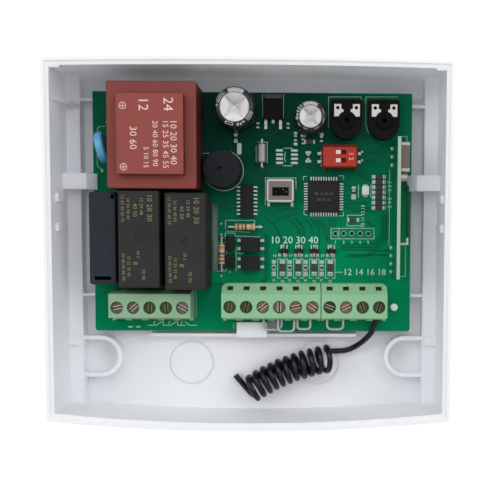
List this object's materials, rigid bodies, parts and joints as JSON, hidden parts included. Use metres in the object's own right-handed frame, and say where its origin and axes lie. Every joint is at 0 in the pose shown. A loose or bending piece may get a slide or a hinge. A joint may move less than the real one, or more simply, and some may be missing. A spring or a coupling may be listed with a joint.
{
  "type": "shutter motor controller",
  "caption": "Shutter motor controller: open wall tray with a circuit board, transformer, relays, screw terminals, trimmers and a coiled wire antenna.",
  "frame": {"origin": "middle of the tray's back face, at the bounding box's bottom centre", "axes": "+Z out of the wall through the open tray, +Y up on the wall, +X to the right seen from the front"},
  "size_m": [0.12, 0.11, 0.0283],
  "materials": {
    "white_plastic": "fine matt moulding",
    "board_green": "solder mask over glass laminate",
    "tinned_metal": "tinned",
    "transformer_red": "moulded case",
    "core_steel": "laminated",
    "copper": "enamelled wire",
    "black_plastic": "satin moulding",
    "black_epoxy": "moulded epoxy",
    "spring_metal": "plated",
    "relay_iron": "plated",
    "fuse_glass": "clear",
    "cover_black": "satin moulding",
    "terminal_green": "moulded",
    "cage_metal": "zinc plated",
    "screw_metal": "passivated zinc",
    "link_wire": "tinned wire",
    "antenna_black": "wire sleeve",
    "can_aluminium": "bright",
    "sleeve_black": "shrink sleeve",
    "trimmer_black": "moulded",
    "rotor_black": "moulded",
    "switch_red": "moulded",
    "lever_white": "moulded",
    "diaphragm_brass": "rolled",
    "can_steel": "plated",
    "resistor_beige": "lacquer",
    "varistor_blue": "dipped lacquer",
    "chip_ceramic": "ceramic",
    "led_white": "clear lens"
  },
  "bodies": {
    "controller": {"enclosure_base": "white_plastic", "circuit_board": "board_green", "component_pins": "tinned_metal", "transformer_case": "transformer_red", "transformer_core": "core_steel", "transformer_windings": "copper", "relay_housings": "black_plastic", "relay_coils": "copper", "relay_contacts": "spring_metal", "fuse_holder": "cover_black", "fuse_clips": "spring_metal", "glass_fuse": "fuse_glass", "mains_terminal_body": "terminal_green", "signal_terminal_body_left": "terminal_green", "signal_terminal_body_right": "terminal_green", "terminal_cages": "cage_metal", "link_wires": "link_wire", "antenna_coil": "antenna_black", "antenna_lead": "antenna_black", "capacitor_cans": "can_aluminium", "capacitor_sleeves": "sleeve_black", "microcontroller": "black_epoxy", "chip_packages": "black_epoxy", "chip_legs": "tinned_metal", "trimmer_bodies": "trimmer_black", "trimmer_terminals": "tinned_metal", "dip_switch_body": "switch_red", "buzzer_case": "black_plastic", "buzzer_diaphragm": "diaphragm_brass", "can_diode": "can_steel", "axial_resistors": "resistor_beige", "wire_leads": "tinned_metal", "varistor": "varistor_blue", "crystal_can": "can_steel", "chip_parts": "chip_ceramic", "status_led": "led_white", "receiver_board": "board_green", "receiver_parts": "can_steel"},
    "relay_1_armature": {"relay_1_armature": "relay_iron"},
    "relay_2_armature": {"relay_2_armature": "relay_iron"},
    "fuse_cover": {"fuse_cover": "cover_black"},
    "trimmer_rotor_left": {"trimmer_rotor_left": "rotor_black"},
    "trimmer_rotor_right": {"trimmer_rotor_right": "rotor_black"},
    "dip_lever_1": {"dip_lever_1": "lever_white"},
    "dip_lever_2": {"dip_lever_2": "lever_white"},
    "terminal_screw_01": {"terminal_screw_01": "screw_metal"},
    "terminal_screw_02": {"terminal_screw_02": "screw_metal"},
    "terminal_screw_03": {"terminal_screw_03": "screw_metal"},
    "terminal_screw_04": {"terminal_screw_04": "screw_metal"},
    "terminal_screw_05": {"terminal_screw_05": "screw_metal"},
    "terminal_screw_06": {"terminal_screw_06": "screw_metal"},
    "terminal_screw_07": {"terminal_screw_07": "screw_metal"},
    "terminal_screw_08": {"terminal_screw_08": "screw_metal"},
    "terminal_screw_09": {"terminal_screw_09": "screw_metal"},
    "terminal_screw_10": {"terminal_screw_10": "screw_metal"},
    "terminal_screw_11": {"terminal_screw_11": "screw_metal"},
    "terminal_screw_12": {"terminal_screw_12": "screw_metal"},
    "terminal_screw_13": {"terminal_screw_13": "screw_metal"},
    "terminal_screw_14": {"terminal_screw_14": "screw_metal"},
    "terminal_screw_15": {"terminal_screw_15": "screw_metal"}
  },
  "joints": [
    {"name": "screw_01_turn", "type": "hinge", "parent": "controller", "child": "terminal_screw_01", "pos_m": [-0.0411, -0.019, 0.0165], "axis": [0, 0, 1], "range_deg": [0, 1080]},
    {"name": "screw_02_turn", "type": "hinge", "parent": "controller", "child": "terminal_screw_02", "pos_m": [-0.0361, -0.019, 0.0165], "axis": [0, 0, 1], "range_deg": [0, 1080]},
    {"name": "screw_03_turn", "type": "hinge", "parent": "controller", "child": "terminal_screw_03", "pos_m": [-0.0311, -0.019, 0.0165], "axis": [0, 0, 1], "range_deg": [0, 1080]},
    {"name": "screw_04_turn", "type": "hinge", "parent": "controller", "child": "terminal_screw_04", "pos_m": [-0.0261, -0.019, 0.0165], "axis": [0, 0, 1], "range_deg": [0, 1080]},
    {"name": "screw_05_turn", "type": "hinge", "parent": "controller", "child": "terminal_screw_05", "pos_m": [-0.0211, -0.019, 0.0165], "axis": [0, 0, 1], "range_deg": [0, 1080]},
    {"name": "screw_06_turn", "type": "hinge", "parent": "controller", "child": "terminal_screw_06", "pos_m": [-0.00661, -0.0187, 0.0165], "axis": [0, 0, 1], "range_deg": [0, 1080]},
    {"name": "screw_07_turn", "type": "hinge", "parent": "controller", "child": "terminal_screw_07", "pos_m": [-0.00153, -0.0187, 0.0165], "axis": [0, 0, 1], "range_deg": [0, 1080]},
    {"name": "screw_08_turn", "type": "hinge", "parent": "controller", "child": "terminal_screw_08", "pos_m": [0.00355, -0.0187, 0.0165], "axis": [0, 0, 1], "range_deg": [0, 1080]},
    {"name": "screw_09_turn", "type": "hinge", "parent": "controller", "child": "terminal_screw_09", "pos_m": [0.00863, -0.0187, 0.0165], "axis": [0, 0, 1], "range_deg": [0, 1080]},
    {"name": "screw_10_turn", "type": "hinge", "parent": "controller", "child": "terminal_screw_10", "pos_m": [0.01371, -0.0187, 0.0165], "axis": [0, 0, 1], "range_deg": [0, 1080]},
    {"name": "screw_11_turn", "type": "hinge", "parent": "controller", "child": "terminal_screw_11", "pos_m": [0.01879, -0.0187, 0.0165], "axis": [0, 0, 1], "range_deg": [0, 1080]},
    {"name": "screw_12_turn", "type": "hinge", "parent": "controller", "child": "terminal_screw_12", "pos_m": [0.02412, -0.0187, 0.0165], "axis": [0, 0, 1], "range_deg": [0, 1080]},
    {"name": "screw_13_turn", "type": "hinge", "parent": "controller", "child": "terminal_screw_13", "pos_m": [0.0292, -0.0187, 0.0165], "axis": [0, 0, 1], "range_deg": [0, 1080]},
    {"name": "screw_14_turn", "type": "hinge", "parent": "controller", "child": "terminal_screw_14", "pos_m": [0.03428, -0.0187, 0.0165], "axis": [0, 0, 1], "range_deg": [0, 1080]},
    {"name": "screw_15_turn", "type": "hinge", "parent": "controller", "child": "terminal_screw_15", "pos_m": [0.03936, -0.0187, 0.0165], "axis": [0, 0, 1], "range_deg": [0, 1080]},
    {"name": "relay_1_pull", "type": "hinge", "parent": "controller", "child": "relay_1_armature", "pos_m": [-0.0331, -0.0014, 0.0096], "axis": [-1, 0, 0], "range_deg": [0, 5.5], "stiffness_Nm_per_rad": 0.0002, "springref_deg": -11.46},
    {"name": "relay_2_pull", "type": "hinge", "parent": "controller", "child": "relay_2_armature", "pos_m": [-0.01925, -0.00205, 0.0096], "axis": [-1, 0, 0], "range_deg": [0, 5.5], "stiffness_Nm_per_rad": 0.0002, "springref_deg": -11.46},
    {"name": "fuse_cover_pull", "type": "slide", "parent": "controller", "child": "fuse_cover", "axis": [0, 0, 1], "range_m": [0, 0.015]},
    {"name": "trimmer_left_turn", "type": "hinge", "parent": "controller", "child": "trimmer_rotor_left", "pos_m": [0.0293, 0.03885, 0.0105], "axis": [0, 0, -1], "range_deg": [-117, 117]},
    {"name": "trimmer_right_turn", "type": "hinge", "parent": "controller", "child": "trimmer_rotor_right", "pos_m": [0.0409, 0.03885, 0.0105], "axis": [0, 0, -1], "range_deg": [-117, 117]},
    {"name": "dip_lever_1_slide", "type": "slide", "parent": "controller", "child": "dip_lever_1", "axis": [1, 0, 0], "range_m": [0, 0.0015]},
    {"name": "dip_lever_2_slide", "type": "slide", "parent": "controller", "child": "dip_lever_2", "axis": [1, 0, 0], "range_m": [0, 0.0015]}
  ]
}
